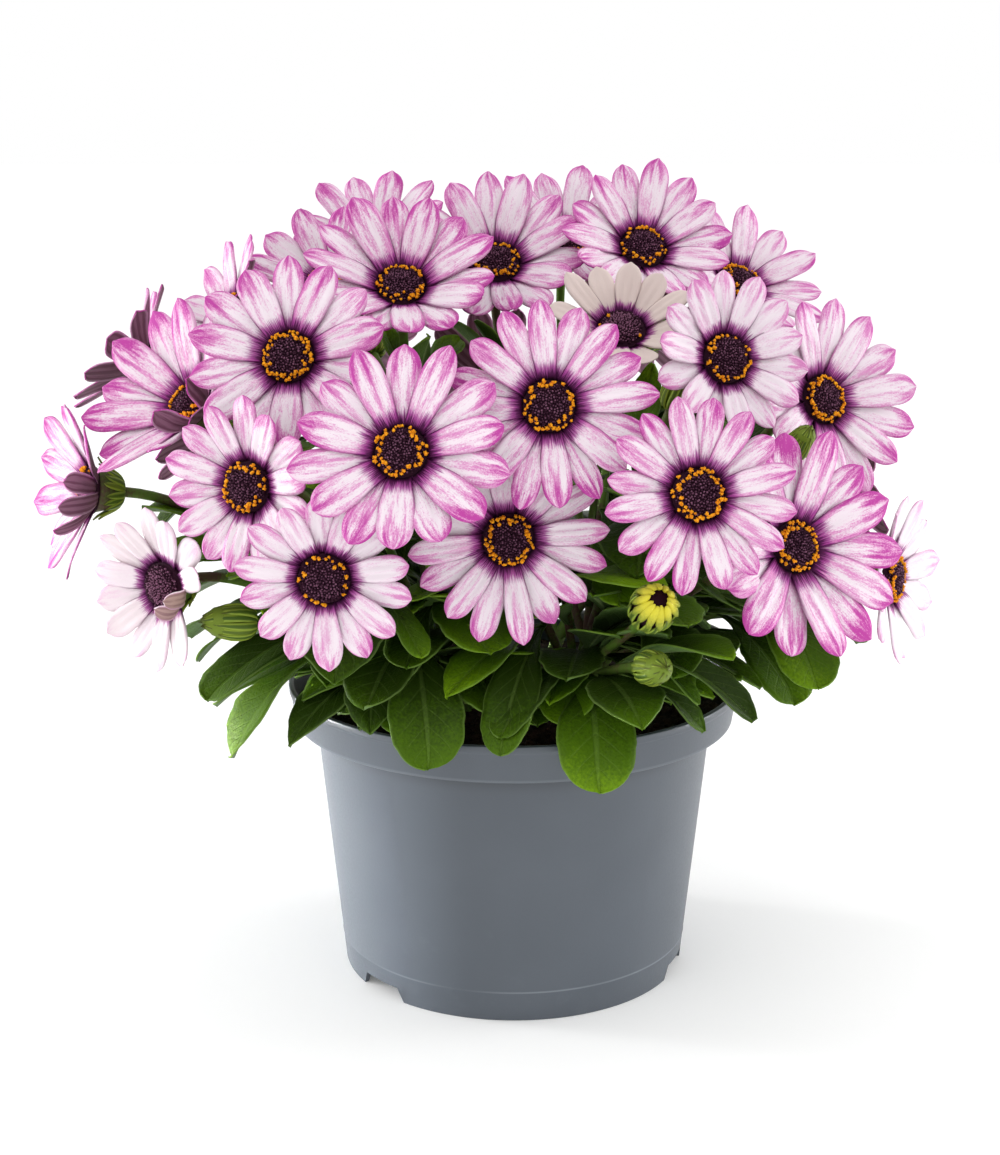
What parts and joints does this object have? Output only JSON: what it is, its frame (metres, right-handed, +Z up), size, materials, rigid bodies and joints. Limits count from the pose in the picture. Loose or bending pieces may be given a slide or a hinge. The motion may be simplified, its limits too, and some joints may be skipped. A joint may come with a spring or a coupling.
{
  "type": "potted osteospermum",
  "caption": "Cape daisy in full bloom: pink and white daisy heads with dark discs over toothed green leaves, in a round grey nursery pot with a rim band.",
  "frame": {"origin": "middle of the pot's foot, on the surface that the pot stands on", "axes": "+Z up, +X to the viewer's right, -Y towards the viewer (the front of the plant)"},
  "size_m": [0.2581, 0.2072, 0.2343],
  "materials": {
    "pot": "matte moulded grey plastic",
    "soil": "moist peat compost, rough and crumbly",
    "foliage": "living leaf, slightly glossy",
    "petal": "soft petal, white streaked with pink and violet",
    "petal_white": "soft petal, creamy white with faint pink",
    "disc": "granular dark violet florets with orange pollen"
  },
  "bodies": {
    "root": {"pot": "pot", "soil": "soil", "shoot_back_left": "foliage", "shoot_back_right": "foliage", "shoot_front_left": "foliage", "shoot_front_right": "foliage", "shoot_left": "foliage", "shoot_right": "foliage", "bloom_01_disc": "disc", "bloom_01_rays": "petal", "bloom_02_disc": "disc", "bloom_02_rays": "petal", "bloom_03_disc": "disc", "bloom_03_rays": "petal", "bloom_04_disc": "disc", "bloom_04_rays": "petal", "bloom_05_disc": "disc", "bloom_05_rays": "petal_white", "bloom_06_disc": "disc", "bloom_06_rays": "petal_white", "bloom_07_disc": "disc", "bloom_07_rays": "petal", "bloom_08_disc": "disc", "bloom_08_rays": "petal", "bloom_09_disc": "disc", "bloom_09_rays": "petal", "bloom_10_disc": "disc", "bloom_10_rays": "petal", "bloom_11_disc": "disc", "bloom_11_rays": "petal", "bloom_12_disc": "disc", "bloom_12_rays": "petal", "bloom_13_disc": "disc", "bloom_13_rays": "petal", "bloom_14_disc": "disc", "bloom_14_rays": "petal", "bloom_15_disc": "disc", "bloom_15_rays": "petal", "bloom_16_disc": "disc", "bloom_16_rays": "petal", "bloom_17_disc": "disc", "bloom_17_rays": "petal_white", "bloom_18": "petal", "bloom_19_disc": "disc", "bloom_19_rays": "petal", "bloom_20": "petal", "bloom_21": "petal", "bloom_22_disc": "disc", "bloom_22_rays": "petal", "bloom_23_disc": "disc", "bloom_23_rays": "petal_white", "bloom_24": "petal", "bloom_25": "petal", "bloom_26": "petal", "bloom_27": "petal", "bloom_28": "petal", "bloom_29": "petal", "bloom_30": "petal"}
  },
  "joints": []
}
